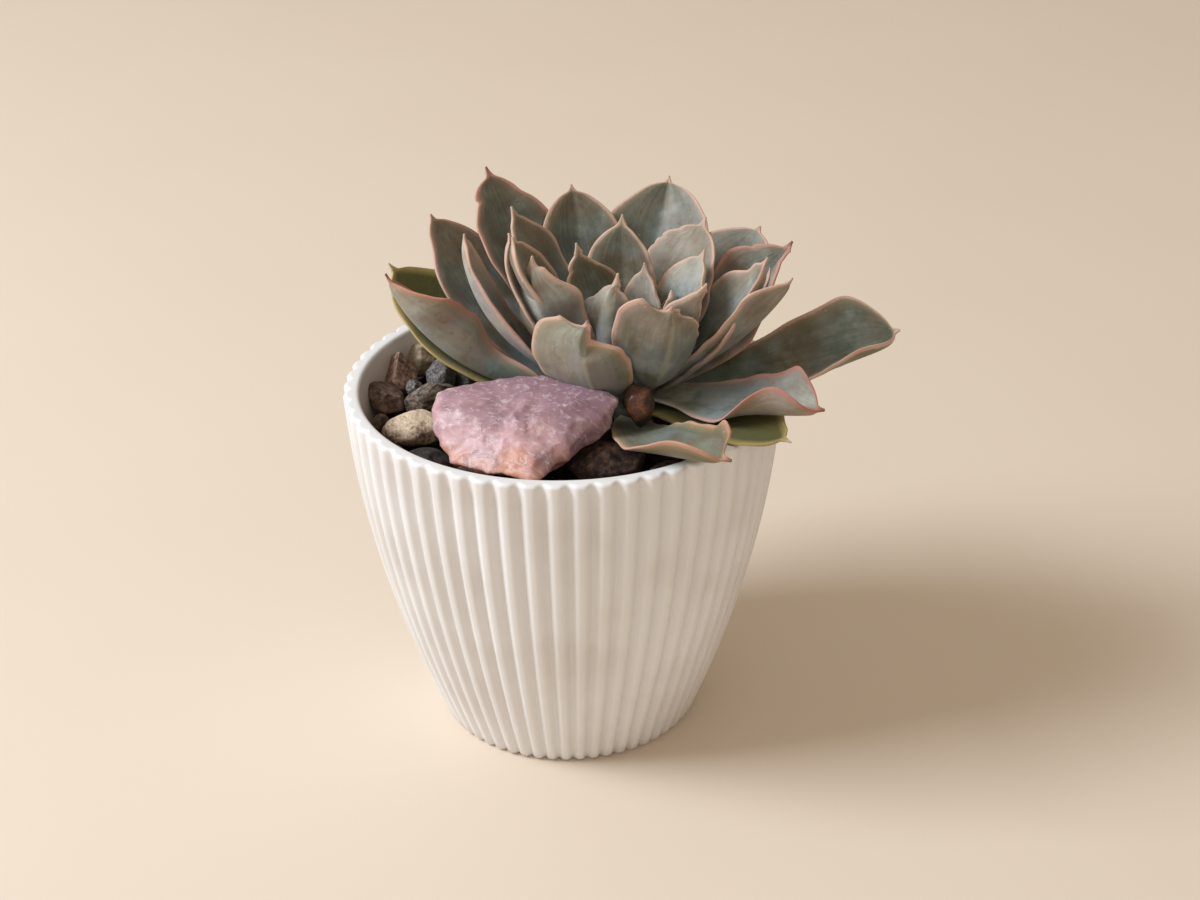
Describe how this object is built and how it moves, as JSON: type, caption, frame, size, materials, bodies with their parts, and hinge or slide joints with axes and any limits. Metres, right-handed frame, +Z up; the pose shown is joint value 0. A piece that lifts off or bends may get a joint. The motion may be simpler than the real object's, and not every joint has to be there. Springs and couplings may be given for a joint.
{
  "type": "potted echeveria",
  "caption": "Open succulent rosette in a flared, finely ribbed white pot, with pebbles, a rough rose quartz and a small polished stone on the soil.",
  "frame": {"origin": "centre of the pot's foot, on the surface that it stands on", "axes": "+Z up along the pot's axis, -Y towards the front that shows the quartz, +X to the right of it"},
  "size_m": [0.1514, 0.1198, 0.1554],
  "materials": {
    "glaze": "satin warm white glaze",
    "soil": "crumbly dark potting soil",
    "leaf": "fleshy leaf with a powdery bloom and pink margins",
    "quartz": "glossy broken crystal",
    "polished": "polished",
    "tan": "rough pebble",
    "taupe": "rough pebble",
    "brown": "rough pebble",
    "slate": "rough pebble",
    "charcoal": "rough pebble",
    "umber": "rough pebble"
  },
  "bodies": {
    "root": {"pot": "glaze", "soil": "soil", "echeveria": "leaf", "rose_quartz": "quartz", "brown_stone": "polished", "pebble_01": "tan", "pebble_02": "taupe", "pebble_03": "brown", "pebble_04": "brown", "pebble_05": "tan", "pebble_06": "slate", "pebble_07": "charcoal", "pebble_08": "slate", "pebble_09": "taupe", "pebble_10": "charcoal", "pebble_11": "umber", "pebble_12": "umber", "pebble_13": "charcoal", "pebble_14": "umber", "pebble_15": "charcoal", "pebble_16": "taupe", "pebble_17": "slate", "pebble_18": "slate", "pebble_19": "slate", "pebble_20": "brown", "pebble_21": "taupe", "pebble_22": "slate", "pebble_23": "charcoal", "pebble_24": "umber", "pebble_25": "tan", "pebble_26": "slate", "pebble_27": "charcoal", "pebble_28": "tan", "pebble_29": "charcoal", "pebble_30": "umber", "pebble_31": "umber", "pebble_32": "umber", "pebble_33": "slate", "pebble_34": "taupe", "pebble_35": "brown", "pebble_36": "tan", "pebble_37": "charcoal", "pebble_38": "slate", "pebble_39": "slate", "pebble_40": "umber", "pebble_41": "tan", "pebble_42": "charcoal", "pebble_43": "umber", "pebble_44": "umber", "pebble_45": "charcoal", "pebble_46": "umber", "pebble_47": "brown"}
  },
  "joints": []
}
